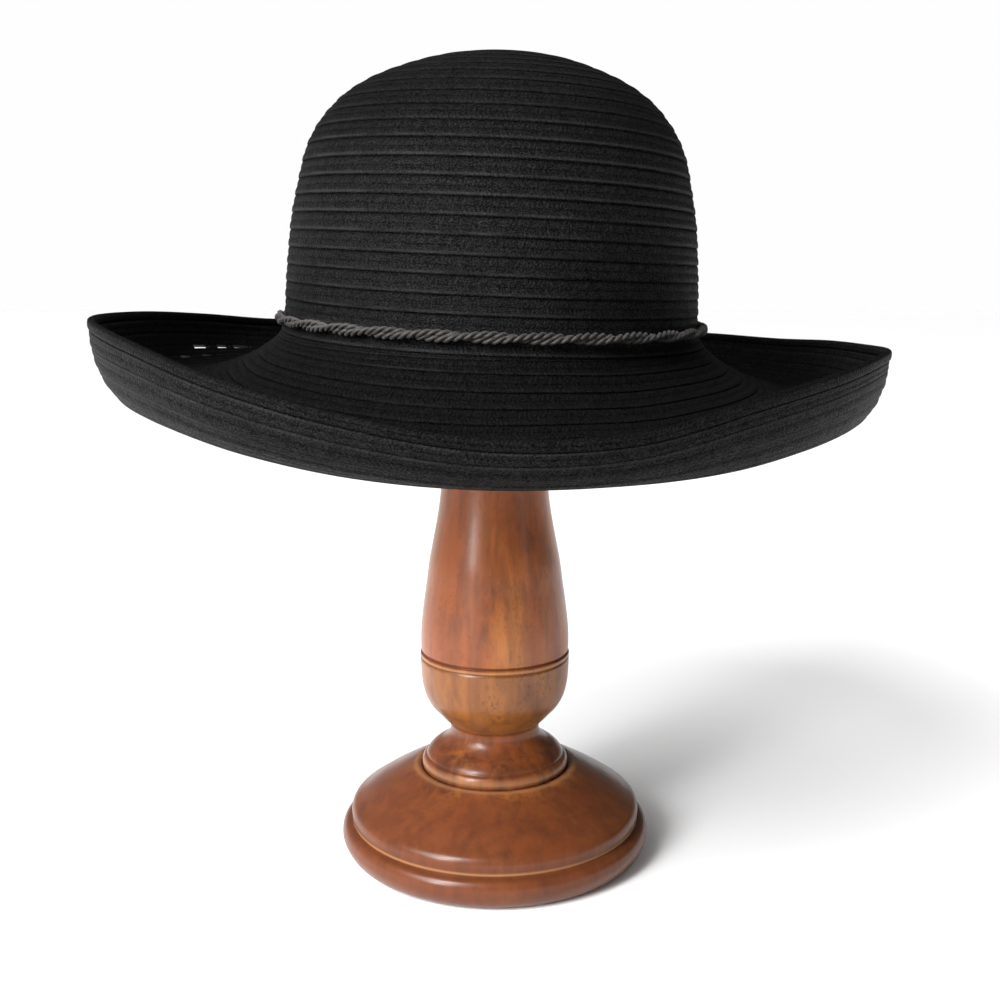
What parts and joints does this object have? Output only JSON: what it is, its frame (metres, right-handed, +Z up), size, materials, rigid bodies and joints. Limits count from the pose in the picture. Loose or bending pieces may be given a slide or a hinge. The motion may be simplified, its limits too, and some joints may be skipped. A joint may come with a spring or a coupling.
{
  "type": "sun hat on a turned wooden hat stand",
  "caption": "Sewn braid sun hat with a round crown, twisted cord and upturned brim, resting on a turned wooden stand with a round foot.",
  "frame": {"origin": "middle of the stand's foot, on the floor", "axes": "+Z up along the stand, +X to the hat's left-hand side as the viewer's right, front of the hat at -Y"},
  "size_m": [0.3237, 0.3492, 0.3435],
  "materials": {
    "braid": "matt black sewn braid",
    "cord": "dark grey twisted cord, matt",
    "wood": "red-brown turned hardwood, satin lacquer"
  },
  "bodies": {
    "root": {"crown": "braid", "brim": "braid", "brim_edge": "braid", "cord_band": "cord", "stand_base": "wood", "stand_spindle": "wood", "stand_knob": "wood"}
  },
  "joints": []
}
